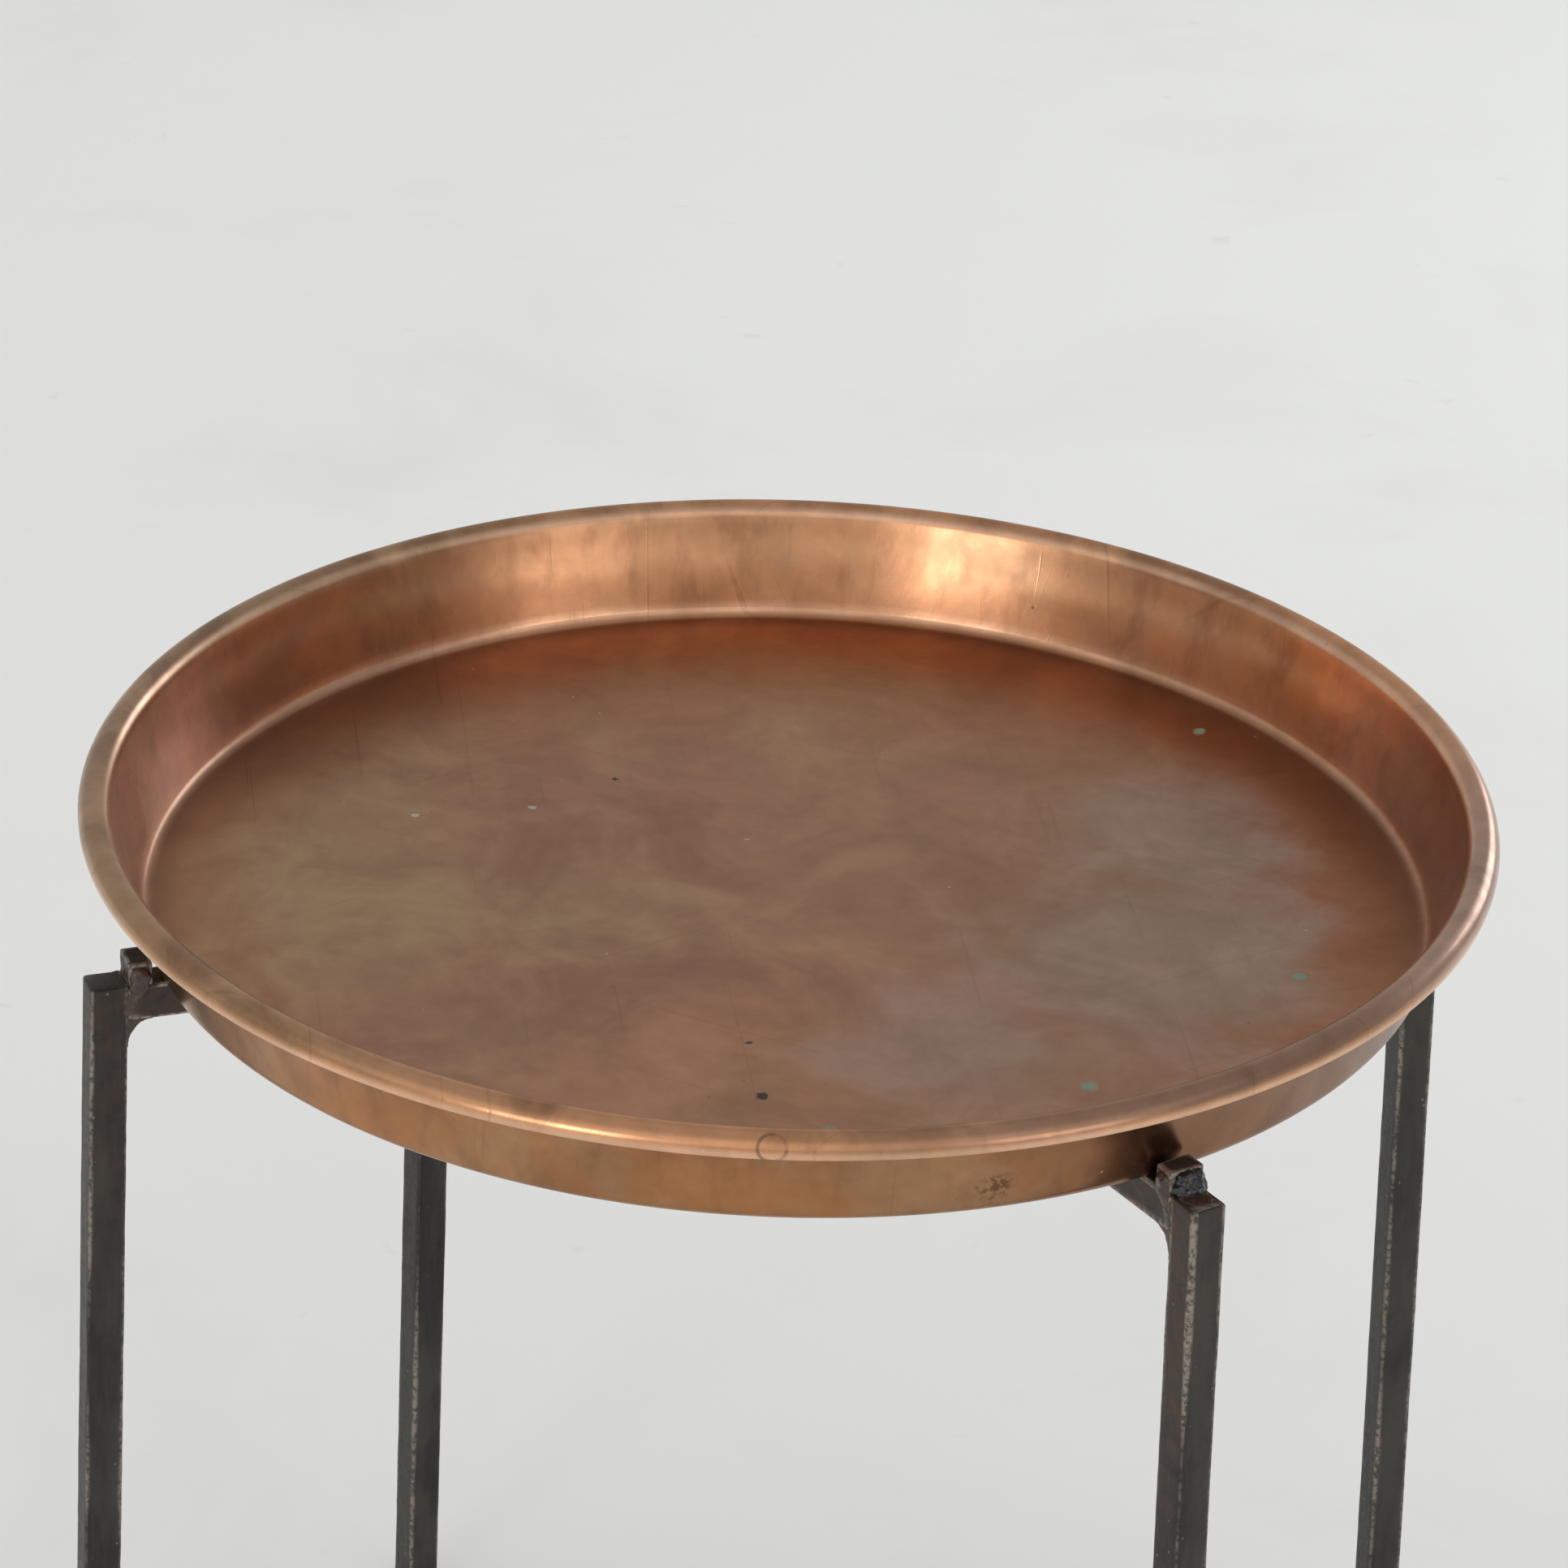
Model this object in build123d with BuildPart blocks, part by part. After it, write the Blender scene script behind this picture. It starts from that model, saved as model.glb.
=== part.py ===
"""Tray table: a loose round copper tray on a folding stand of square iron bar.

Units are millimetres. +Z is up, the origin is on the floor under the tray's centre, and the X
axis halves the narrow angle between the two crossbars. The stand is two U-shaped frames, each
two legs and a crossbar, halved into each other at the middle and held by one rivet.
"""
import os
from math import cos, radians, sin, sqrt, tan

from build123d import *

os.makedirs("parts", exist_ok=True)

# Tray
tray_diameter = 600.0      # over the rolled rim
tray_height = 51.5         # underside to the top of the rim
sheet = 1.2                # copper sheet
bead_radius = 7.0          # outer radius of the rolled rim
bead_curl = 18.0           # degrees the rim turns down past its widest point
wall_angle = 15.6          # flare of the wall away from upright, degrees
floor_bend = 6.0           # inner radius between floor and wall

# Stand
bar = 16.0                 # square bar
bar_edge = 1.5             # worn arris of the bar
stand_height = 538.5       # floor to the top of the crossbars
splay = 1.6                # outward lean of the legs, degrees
half_cross_angle = 38.0    # half the narrow angle between the crossbars, degrees

# Tray stops, welded on the ends of the crossbars
stop_length = 10.0
stop_height = 10.2
stop_edge = 0.8
stop_gap = 1.6             # play between the tray's wall and the top of a stop

# Halved crossing and its rivet
folded_angle = 29.0        # between the crossbars when the stand is folded, degrees
lap_play = 1.0             # along the bar, at the shoulders of the halving when folded
eye_radius = 13.0          # widened round eye in the middle of each bar
rivet_radius = 4.0
rivet_play = 0.06          # radial running clearance in the upper bar
sink_radius = 6.6          # countersunk top head
sink_depth = 2.6
head_drop = 0.25           # top head sits this far below the crossbar's top
head_radius = 8.0          # round head under the crossing
head_height = 5.0

# Weld metal
corner_run = 10.0          # fillet under each corner, along the crossbar
corner_fall = 11.5         # the same fillet, down the leg
corner_mid = 3.6           # how deep the fillet's hollow comes to the corner
bead_lump = 4.2            # radius of one lump of the bead on a stop
pad_height = 0.7           # how proud the smooth side welds stand
pad_bevel = 0.35
pad_radius = 5.6
pad_rise = 1.8             # middle of the pad above the crossbar's top
seam_radius = 5.4
seam_drop = 7.2            # middle of the seam's weld below the crossbar's top

# Section of the tray, from its axis and its underside
flare = radians(wall_angle)
curl = radians(bead_curl)
outer_bend = floor_bend + sheet
rim_out = tray_diameter / 2 - bead_radius
rim_up = tray_height - bead_radius
wall_top = rim_up + bead_radius * sin(flare)
wall_low = outer_bend - floor_bend * sin(flare)
wall_in = (wall_top - wall_low) * tan(flare)
floor_radius = rim_out - bead_radius * cos(flare) - wall_in - floor_bend * cos(flare)
rim_inside = bead_radius - sheet
bend_mid = radians((90 + wall_angle) / 2)
bend_out = floor_radius + outer_bend * cos(flare)
bend_up = outer_bend - outer_bend * sin(flare)

# The stand is laid out from the tray's wall: play, then the stop, then the leg
wall_at_stop = bend_out + (stop_height - bend_up) * tan(flare)
inner_face = wall_at_stop + stop_gap + stop_length
bar_top = stand_height
bar_mid = stand_height - bar / 2
bar_under = stand_height - bar
lean = tan(radians(splay))
lap_half_length = bar / 2 / tan(radians(folded_angle / 2)) + lap_play

LOWER_FRAME = {"back_right": half_cross_angle, "front_left": half_cross_angle + 180}
UPPER_FRAME = {"front_right": -half_cross_angle, "back_left": 180 - half_cross_angle}
LEGS = {**LOWER_FRAME, **UPPER_FRAME}


def side_plane(angle):
    """Upright plane through the stand's centre: x runs out along a crossbar, y runs up."""
    a = radians(angle)
    return Plane(origin=(0, 0, 0), x_dir=(cos(a), sin(a), 0), z_dir=(sin(a), -cos(a), 0))


def place(angle, out, across, up):
    """Point given by its distance out along a crossbar, across it and up."""
    a = radians(angle)
    return (out * cos(a) - across * sin(a), out * sin(a) + across * cos(a), up)


def side_reach(edge, angle):
    """Distance of an edge's middle from the upright plane of a crossbar."""
    a = radians(angle)
    middle = edge @ 0.5
    return abs(-middle.X * sin(a) + middle.Y * cos(a))


def long_edges(part, angle, length):
    """Edges longer than length that lie within the upright plane of a crossbar."""
    a = radians(angle)
    kept = []
    for edge in part.edges():
        run = edge @ 1 - edge @ 0
        across = abs(-run.X * sin(a) + run.Y * cos(a))
        if edge.length > length and across < 0.01:
            kept.append(edge)
    return kept


# Copper tray: floor, flared wall and rim in one turned sheet
with BuildPart() as tray:
    with BuildSketch(Plane.XZ):
        with BuildLine():
            Line((0, 0), (floor_radius, 0))
            ThreePointArc(
                (floor_radius, 0),
                (floor_radius + outer_bend * cos(bend_mid), outer_bend - outer_bend * sin(bend_mid)),
                (bend_out, bend_up),
            )
            Line(
                (bend_out, bend_up),
                (rim_out - rim_inside * cos(flare), rim_up + rim_inside * sin(flare)),
            )
            ThreePointArc(
                (rim_out - rim_inside * cos(flare), rim_up + rim_inside * sin(flare)),
                (rim_out, rim_up + rim_inside),
                (rim_out + rim_inside * cos(curl), rim_up - rim_inside * sin(curl)),
            )
            Line(
                (rim_out + rim_inside * cos(curl), rim_up - rim_inside * sin(curl)),
                (rim_out + bead_radius * cos(curl), rim_up - bead_radius * sin(curl)),
            )
            ThreePointArc(
                (rim_out + bead_radius * cos(curl), rim_up - bead_radius * sin(curl)),
                (rim_out, rim_up + bead_radius),
                (rim_out - bead_radius * cos(flare), rim_up + bead_radius * sin(flare)),
            )
            Line(
                (rim_out - bead_radius * cos(flare), rim_up + bead_radius * sin(flare)),
                (floor_radius + floor_bend * cos(flare), outer_bend - floor_bend * sin(flare)),
            )
            ThreePointArc(
                (floor_radius + floor_bend * cos(flare), outer_bend - floor_bend * sin(flare)),
                (floor_radius + floor_bend * cos(bend_mid), outer_bend - floor_bend * sin(bend_mid)),
                (floor_radius, sheet),
            )
            Line((floor_radius, sheet), (0, sheet))
            Line((0, sheet), (0, 0))
        make_face()
    revolve(axis=Axis.Z)
tray.part = tray.part.moved(Location((0, 0, stand_height)))
tray.part.label = "tray"
export_step(tray.part, "parts/tray.step")


def make_leg(angle):
    """One leaning square leg, its top level with the crossbars and its foot cut flat."""
    with BuildPart() as leg:
        with BuildSketch(side_plane(angle)):
            with BuildLine():
                Polyline(
                    (inner_face, bar_top),
                    (inner_face + bar, bar_top),
                    (inner_face + bar + lean * bar_top, 0),
                    (inner_face + lean * bar_top, 0),
                    close=True,
                )
            make_face()
        extrude(amount=bar / 2, both=True)
        fillet(long_edges(leg.part, angle, 400), radius=bar_edge)
    return leg.part


def make_crossbar(angle, lower):
    """A crossbar halved at the middle: the lower one keeps its bottom half there."""
    with BuildPart() as crossbar:
        with BuildSketch(side_plane(angle)):
            with BuildLine():
                Polyline(
                    (-inner_face, bar_top),
                    (inner_face, bar_top),
                    (inner_face + lean * bar, bar_under),
                    (-inner_face - lean * bar, bar_under),
                    close=True,
                )
            make_face()
        extrude(amount=bar / 2, both=True)
        fillet(long_edges(crossbar.part, angle, 400), radius=bar_edge)
        low = bar_mid if lower else bar_under - 1
        high = bar_top + 1 if lower else bar_mid
        with BuildSketch(side_plane(angle)):
            with Locations((0, (low + high) / 2)):
                Rectangle(2 * lap_half_length, high - low)
        extrude(amount=bar, both=True, mode=Mode.SUBTRACT)
        with BuildSketch(Plane.XY.offset(bar_under if lower else bar_mid)):
            Circle(eye_radius)
        extrude(amount=bar / 2)
        with BuildSketch(Plane.XY.offset(bar_under - 1)):
            Circle(rivet_radius if lower else rivet_radius + rivet_play)
        extrude(amount=bar + 2, mode=Mode.SUBTRACT)
        if not lower:
            with BuildSketch(Plane.XZ):
                with BuildLine():
                    Polyline(
                        (0, bar_top + 1),
                        (sink_radius + rivet_play, bar_top + 1),
                        (sink_radius + rivet_play, bar_top - head_drop),
                        (rivet_radius + rivet_play, bar_top - head_drop - sink_depth),
                        (0, bar_top - head_drop - sink_depth),
                        close=True,
                    )
                make_face()
            revolve(axis=Axis.Z, mode=Mode.SUBTRACT)
    return crossbar.part


# The two crossbars, the lower one first
crossbar_lower = make_crossbar(half_cross_angle, True)
crossbar_lower.label = "crossbar_lower"
export_step(crossbar_lower, "parts/crossbar_lower.step")

crossbar_upper = make_crossbar(-half_cross_angle, False)
crossbar_upper.label = "crossbar_upper"
export_step(crossbar_upper, "parts/crossbar_upper.step")

# Rivet: countersunk head flush in the upper bar, round head under the lower bar
head_ball = (head_radius ** 2 + head_height ** 2) / (2 * head_height)
head_ball_up = head_ball - head_height
head_ball_mid = sqrt(head_ball ** 2 - (head_radius * 0.6) ** 2)
with BuildPart() as pivot_rivet:
    with BuildSketch(Plane.XZ):
        with BuildLine():
            Polyline(
                (0, bar_top - head_drop),
                (sink_radius, bar_top - head_drop),
                (rivet_radius, bar_top - head_drop - sink_depth),
                (rivet_radius, bar_under),
                (head_radius, bar_under),
            )
            ThreePointArc(
                (head_radius, bar_under),
                (head_radius * 0.6, bar_under + head_ball_up - head_ball_mid),
                (0, bar_under - head_height),
            )
            Line((0, bar_under - head_height), (0, bar_top - head_drop))
        make_face()
    revolve(axis=Axis.Z)
pivot_rivet.part.label = "pivot_rivet"
export_step(pivot_rivet.part, "parts/pivot_rivet.step")


def make_stop(angle):
    """A short piece of bar standing on the crossbar's end, against the tray's wall."""
    with BuildPart() as stop:
        with BuildSketch(side_plane(angle)):
            with Locations((inner_face - stop_length / 2, bar_top + stop_height / 2)):
                Rectangle(stop_length, stop_height)
        extrude(amount=bar / 2, both=True)
        fillet(stop.edges().group_by(Axis.Z)[-1], radius=stop_edge)
    return stop.part


def make_corner_weld(angle):
    """Hollow fillet of weld metal in the corner under the crossbar."""
    with BuildPart() as weld:
        with BuildSketch(side_plane(angle)):
            corner = inner_face + lean * bar
            with BuildLine():
                Polyline(
                    (corner - corner_run, bar_under),
                    (corner, bar_under),
                    (corner + lean * corner_fall, bar_under - corner_fall),
                )
                ThreePointArc(
                    (corner + lean * corner_fall, bar_under - corner_fall),
                    (corner - corner_mid, bar_under - corner_mid),
                    (corner - corner_run, bar_under),
                )
            make_face()
        extrude(amount=bar / 2 - bar_edge, both=True)
    return weld.part


def make_stop_bead(angle, shift):
    """Lumpy bead joining a stop's outer face to the top of the leg."""
    with BuildPart() as bead:
        for step in range(4):
            across = (step - 1.5) * 3.0 + shift
            rise = 3.0 + 2.2 * ((step + 1) % 2)
            with Locations(place(angle, inner_face + 0.8, across, bar_top + rise)):
                Sphere(bead_lump + 0.4 * (step % 2))
        with Locations(Location(place(angle, inner_face + 1.5, shift / 2, bar_top), (0, 0, angle))):
            Box(8.0, 11.6, 2.2)
        with Locations(Location(place(angle, inner_face + 20, 0, bar_top + 20), (0, 0, angle))):
            Box(40, bar - 0.4, 40, mode=Mode.INTERSECT)
    return bead.part


def make_side_welds(angle):
    """Smooth weld pads on both sides, over the joints of stop, crossbar and leg."""
    with BuildPart() as pads:
        for side in (-1, 1):
            with BuildSketch(side_plane(angle).offset(side * bar / 2)):
                with Locations((inner_face - stop_length / 2, bar_top + pad_rise)):
                    Circle(pad_radius)
                with Locations((inner_face - 1.0, bar_top - seam_drop)):
                    Circle(seam_radius)
            extrude(amount=side * pad_height)
        proud = bar / 2 + pad_height
        outer = pads.edges().filter_by(lambda edge: abs(side_reach(edge, angle) - proud) < 0.01)
        chamfer(outer, length=pad_bevel)
    return pads.part


# Legs, stops and welds at the four corners; only the upper frame's stops have an outer bead
for corner_name, corner_angle in LEGS.items():
    leg_part = make_leg(corner_angle)
    leg_part.label = f"leg_{corner_name}"
    export_step(leg_part, f"parts/leg_{corner_name}.step")

    stop_part = make_stop(corner_angle)
    stop_part.label = f"tray_stop_{corner_name}"
    export_step(stop_part, f"parts/tray_stop_{corner_name}.step")

    weld_part = make_corner_weld(corner_angle)
    weld_part.label = f"corner_weld_{corner_name}"
    export_step(weld_part, f"parts/corner_weld_{corner_name}.step")

    if corner_name in UPPER_FRAME:
        bead_part = make_stop_bead(corner_angle, 0.5 if corner_name == "front_right" else -0.4)
        bead_part.label = f"stop_bead_{corner_name}"
        export_step(bead_part, f"parts/stop_bead_{corner_name}.step")

    pads_part = make_side_welds(corner_angle)
    pads_part.label = f"side_welds_{corner_name}"
    export_step(pads_part, f"parts/side_welds_{corner_name}.step")
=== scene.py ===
"""Copper tray table on a folding stand of square iron bar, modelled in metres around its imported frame.

+Z is up and the origin is on the floor under the middle of the tray. The stand is two U-shaped
frames pinned together at the middle of their crossbars, and the tray rests loose on both.
"""

import logging
import math
from dataclasses import dataclass, field
from enum import Enum
from functools import reduce
from typing import Callable

import bpy
import bmesh
from mathutils import Matrix, Vector


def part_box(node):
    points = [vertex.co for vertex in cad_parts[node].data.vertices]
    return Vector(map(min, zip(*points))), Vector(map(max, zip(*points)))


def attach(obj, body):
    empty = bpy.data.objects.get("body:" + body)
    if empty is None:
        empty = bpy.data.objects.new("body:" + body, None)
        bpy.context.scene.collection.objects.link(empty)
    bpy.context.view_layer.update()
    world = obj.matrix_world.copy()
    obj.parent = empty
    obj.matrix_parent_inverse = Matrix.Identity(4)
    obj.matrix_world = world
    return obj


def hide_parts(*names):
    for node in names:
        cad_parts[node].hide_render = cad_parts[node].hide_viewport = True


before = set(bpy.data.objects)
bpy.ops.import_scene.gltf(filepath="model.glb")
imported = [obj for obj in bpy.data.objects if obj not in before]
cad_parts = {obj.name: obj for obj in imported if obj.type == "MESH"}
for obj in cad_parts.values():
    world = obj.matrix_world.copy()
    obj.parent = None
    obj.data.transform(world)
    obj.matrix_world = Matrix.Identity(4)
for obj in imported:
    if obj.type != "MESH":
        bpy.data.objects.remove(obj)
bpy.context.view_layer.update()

log = logging.getLogger("tray_table")

Colour = tuple[float, float, float]
Point = tuple[float, float, float]
Side = tuple[float, float, float]
Socket = bpy.types.NodeSocket
Piece = bpy.types.Object
Look = bpy.types.Material

MM = 0.001
ARRIS = "arris"
RUST = "rust"
HEAT = "heat"
OUTSIDE = "outside"
RUBBED = "rubbed"
COLOUR_A, COLOUR_B, COLOUR_OUT = 6, 7, 2  # colour sockets of a Mix node


# ---------------------------------------------------------------- workshop tools


def put_down() -> None:
    """Leave edit mode and deselect everything."""
    active = bpy.context.view_layer.objects.active
    if active is not None and active.mode != "OBJECT":
        bpy.ops.object.mode_set(mode="OBJECT")
    bpy.ops.object.select_all(action="DESELECT")


def take(piece: Piece) -> None:
    """Make one piece the only selected and active object.

    Args:
        piece: The object to work on.
    """
    put_down()
    piece.select_set(True)
    bpy.context.view_layer.objects.active = piece


def open_up(piece: Piece, mode: str = "VERT") -> None:
    """Enter edit mode on a piece with nothing selected.

    Args:
        piece: The object to edit.
        mode: What is selected: VERT, EDGE or FACE.
    """
    take(piece)
    bpy.ops.object.mode_set(mode="EDIT")
    bpy.ops.mesh.select_mode(type=mode)
    bpy.ops.mesh.select_all(action="DESELECT")


def choose_edges(piece: Piece, test: Callable[[Vector, Vector], bool]) -> int:
    """Select the edges whose two ends pass a test, in edit mode.

    Args:
        piece: The object being edited.
        test: Takes the two ends of an edge and says whether it is wanted.

    Returns:
        How many edges were selected.
    """
    shape = bmesh.from_edit_mesh(piece.data)
    for part in (shape.verts, shape.edges, shape.faces):
        for item in part:
            item.select = False
    found = 0
    for edge in shape.edges:
        if test(edge.verts[0].co, edge.verts[1].co):
            edge.select_set(True)
            found += 1
    bmesh.update_edit_mesh(piece.data)
    return found


def select_whole() -> None:
    """Select all of the mesh being edited."""
    bpy.ops.mesh.select_all(action="SELECT")


def cut(place: Point | Vector, normal: Point | Vector, **how: bool) -> None:
    """Cut the whole mesh being edited along a plane.

    Args:
        place: A point of the plane.
        normal: The plane's normal.
        how: What is filled and what is cleared, in bisect's own words.
    """
    select_whole()
    bpy.ops.mesh.bisect(plane_co=place, plane_no=normal, **how)


def direction(degrees: float) -> Point:
    """Level direction of length 1, at an angle from +X."""
    return math.cos(math.radians(degrees)), math.sin(math.radians(degrees)), 0.0


def link_new(name: str, data: bpy.types.ID) -> Piece:
    """New object around some data, linked to the scene."""
    thing = bpy.data.objects.new(name, data)
    bpy.context.scene.collection.objects.link(thing)
    return thing


def cut_block(name: str, size: Point) -> Piece:
    """Rectangular length of bar around the origin.

    Args:
        name: Name of the object and its mesh.
        size: Its length along X, Y and Z.

    Returns:
        The block.
    """
    put_down()
    bpy.ops.mesh.primitive_cube_add(size=1.0)
    piece = bpy.context.active_object
    piece.name = piece.data.name = name
    piece.scale = size
    settle(piece)
    return piece


def trace(name: str, line: list[tuple[float, float]], across: float = 0.0) -> Piece:
    """Chain of edges in an upright plane, left selected in edit mode.

    Args:
        name: Name of the object and its mesh.
        line: Distances along X, each with its height.
        across: Place of the plane along Y.

    Returns:
        The chain.
    """
    put_down()
    bpy.ops.mesh.primitive_plane_add(size=0.01, location=(0, 0, 0))
    chain = bpy.context.active_object
    chain.name = chain.data.name = name
    open_up(chain)
    select_whole()
    bpy.ops.mesh.merge(type="CENTER")
    select_whole()
    bpy.ops.transform.translate(value=(line[0][0], across, line[0][1]))
    for (out, up), (next_out, next_up) in zip(line, line[1:]):
        step = (next_out - out, 0, next_up - up)
        bpy.ops.mesh.extrude_region_move(TRANSFORM_OT_translate={"value": step})
    select_whole()
    return chain


def settle(piece: Piece) -> None:
    """Write a piece's place, turn and scale into its mesh."""
    take(piece)
    bpy.ops.object.transform_apply(location=True, rotation=True, scale=True)


def tidy_skin(piece: Piece, join: float = 1e-6) -> None:
    """Merge a piece's doubles and turn its faces outwards.

    Args:
        piece: The object to mend.
        join: Distance under which two points become one.
    """
    open_up(piece)
    select_whole()
    bpy.ops.mesh.remove_doubles(threshold=join)
    bpy.ops.mesh.normals_make_consistent(inside=False)
    put_down()


def apply_all(piece: Piece) -> None:
    """Apply every modifier of a piece, in order."""
    take(piece)
    for modifier in list(piece.modifiers):
        bpy.ops.object.modifier_apply(modifier=modifier.name)


def roughen(
    piece: Piece,
    grain: float,
    depth: float,
    middle: float = 0.5,
    share: Callable[[Vector], float] | None = None,
) -> None:
    """Push a piece's skin in and out by clouds of one size, and apply it.

    Args:
        piece: The object to roughen.
        grain: Size of the clouds.
        depth: How far the skin moves from the darkest cloud to the lightest.
        middle: Share of depth that stays in place: 0 only raises, 1 only lowers.
        share: Takes a point and gives how much of the depth it gets, 0 to 1.
    """
    clouds = bpy.data.textures.new(f"{piece.name}_clouds", "CLOUDS")
    clouds.noise_scale = grain
    clouds.noise_depth = 2
    push = piece.modifiers.new("roughen", "DISPLACE")
    push.texture = clouds
    push.texture_coords = "LOCAL"
    push.strength = depth
    push.mid_level = middle
    if share is not None:
        group = piece.vertex_groups.new(name="share")
        for vertex in piece.data.vertices:
            group.add([vertex.index], share(vertex.co), "REPLACE")
        push.vertex_group = group.name
    apply_all(piece)
    piece.vertex_groups.clear()


def smooth(piece: Piece, degrees: float = 40.0) -> None:
    """Shade a piece smooth, with sharp edges above an angle.

    Args:
        piece: The object to shade.
        degrees: Angle between faces above which the edge stays sharp.
    """
    take(piece)
    bpy.ops.object.shade_smooth_by_angle(angle=math.radians(degrees))


def gather(parts: list[Piece]) -> Piece:
    """Join several objects into the first of them.

    Args:
        parts: The objects to join.

    Returns:
        The joined object.
    """
    take(parts[0])
    for part in parts:
        part.select_set(True)
    bpy.ops.object.join()
    return parts[0]


def mark(piece: Piece, name: str, value: Callable[[Vector, Vector], float]) -> None:
    """Store a number at each point of a piece, for its finish to read.

    Args:
        piece: The object to mark.
        name: Name of the stored attribute.
        value: Takes a point and its normal and gives the number, 0 to 1.
    """
    mesh = piece.data
    layer = mesh.attributes.get(name) or mesh.attributes.new(name, "FLOAT", "POINT")
    numbers = [min(1.0, max(0.0, value(v.co, v.normal))) for v in mesh.vertices]
    layer.data.foreach_set("value", numbers)


def soft_step(low: float, high: float, at: float) -> float:
    """Smooth ramp from 0 at low to 1 at high.

    Args:
        low: Where the ramp starts.
        high: Where it ends; it may be the smaller of the two.
        at: The value to look up.

    Returns:
        The ramp's height, 0 to 1.
    """
    t = min(1.0, max(0.0, (at - low) / (high - low)))
    return t * t * (3 - 2 * t)


def finish_piece(
    piece: Piece, body: str, look: Look, replaced: tuple[str, ...]
) -> None:
    """Give a piece its finish and its body, and hide the frame nodes that it stands for.

    Args:
        piece: The finished object.
        body: Name of the body it moves with.
        look: Its material.
        replaced: Frame nodes that it stands for.
    """
    piece.data.materials.clear()
    piece.data.materials.append(look)
    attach(piece, body)
    if replaced:
        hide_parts(*replaced)
    log.info("%s rides on %s, %d faces", piece.name, body, len(piece.data.polygons))


# ---------------------------------------------------------------- finishes


class Patterns:
    """Shader node tree, with a short method for each kind of node."""

    def __init__(self, tree: bpy.types.NodeTree, place: str) -> None:
        """Take up a node tree.

        Args:
            tree: The tree of a material or of the world.
            place: Which texture coordinates its patterns read.
        """
        self.nodes, self.links = tree.nodes, tree.links
        self.place = self.nodes.new("ShaderNodeTexCoord").outputs[place]

    def _plug(self, target: Socket, value: object) -> None:
        """Link or set one input."""
        if isinstance(value, Socket):
            self.links.new(value, target)
        elif isinstance(value, tuple) and len(value) == 3 and target.type == "RGBA":
            target.default_value = (*value, 1.0)
        else:
            target.default_value = value

    def move(self, place: Socket, scale: Point = (1, 1, 1), turn: Point = (0, 0, 0)) -> Socket:
        """Turn, then stretch coordinates.

        Args:
            place: Coordinates to change.
            scale: Stretch along X, Y and Z after the turn.
            turn: Turn about X, Y and Z in degrees.

        Returns:
            The new coordinates.
        """
        turned = place
        if any(turn):
            spin = self.nodes.new("ShaderNodeVectorRotate")
            spin.rotation_type = "EULER_XYZ"
            self.links.new(place, spin.inputs["Vector"])
            spin.inputs["Rotation"].default_value = [math.radians(a) for a in turn]
            turned = spin.outputs["Vector"]
        node = self.nodes.new("ShaderNodeMapping")
        self.links.new(turned, node.inputs["Vector"])
        node.inputs["Scale"].default_value = scale
        return node.outputs["Vector"]

    def noise(
        self, place: Socket, scale: float, detail: float = 3.0, rough: float = 0.5, twist: float = 0.0
    ) -> Socket:
        """Cloudy noise around 0.5.

        Args:
            place: Coordinates.
            scale: Clouds per metre.
            detail: Octaves.
            rough: Strength of each octave on the last.
            twist: Distortion.

        Returns:
            The noise value.
        """
        node = self.nodes.new("ShaderNodeTexNoise")
        self.links.new(place, node.inputs["Vector"])
        settings = {"Scale": scale, "Detail": detail, "Roughness": rough, "Distortion": twist}
        for name, number in settings.items():
            node.inputs[name].default_value = number
        return node.outputs["Fac"]

    def specks(self, place: Socket, scale: float, size: float) -> Socket:
        """Small round specks, each in a cell of its own, some cells left empty.

        Args:
            place: Coordinates.
            scale: Cells per metre.
            size: Radius of a speck, in cells.

        Returns:
            1 inside a speck, 0 outside.
        """
        cells = self.nodes.new("ShaderNodeTexVoronoi")
        self.links.new(place, cells.inputs["Vector"])
        cells.inputs["Scale"].default_value = scale
        near = self.ramp(cells.outputs["Distance"], size, size * 0.4)
        parts = self.nodes.new("ShaderNodeSeparateColor")
        self.links.new(cells.outputs["Color"], parts.inputs["Color"])
        return self.times(near, self.ramp(parts.outputs["Red"], 0.72, 0.80))

    def math(self, kind: str, first: object, second: object = 0.0) -> Socket:
        """One arithmetic step.

        Args:
            kind: Blender's name of the operation.
            first: First value or socket.
            second: Second value or socket, where the operation takes one.

        Returns:
            The result.
        """
        node = self.nodes.new("ShaderNodeMath")
        node.operation = kind
        for target, value in zip(node.inputs, (first, second)):
            self._plug(target, value)
        return node.outputs["Value"]

    def times(self, *values: object) -> Socket:
        """Product of several values."""
        return reduce(lambda one, next_one: self.math("MULTIPLY", one, next_one), values)

    def most(self, *values: object) -> Socket:
        """Largest of several values."""
        return reduce(lambda one, next_one: self.math("MAXIMUM", one, next_one), values)

    def plus(self, first: object, second: object) -> Socket:
        """Sum of two values."""
        return self.math("ADD", first, second)

    def minus(self, first: object, second: object) -> Socket:
        """First value less the second."""
        return self.math("SUBTRACT", first, second)

    def vector(self, kind: str, first: Socket, second: object = None) -> bpy.types.Node:
        """One step of vector arithmetic.

        Args:
            kind: Blender's name of the operation.
            first: Coordinates.
            second: Second vector or socket, where the operation takes one.

        Returns:
            The node, since its result is a vector or a value.
        """
        node = self.nodes.new("ShaderNodeVectorMath")
        node.operation = kind
        self.links.new(first, node.inputs[0])
        if second is not None:
            self._plug(node.inputs[1], second)
        return node

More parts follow.
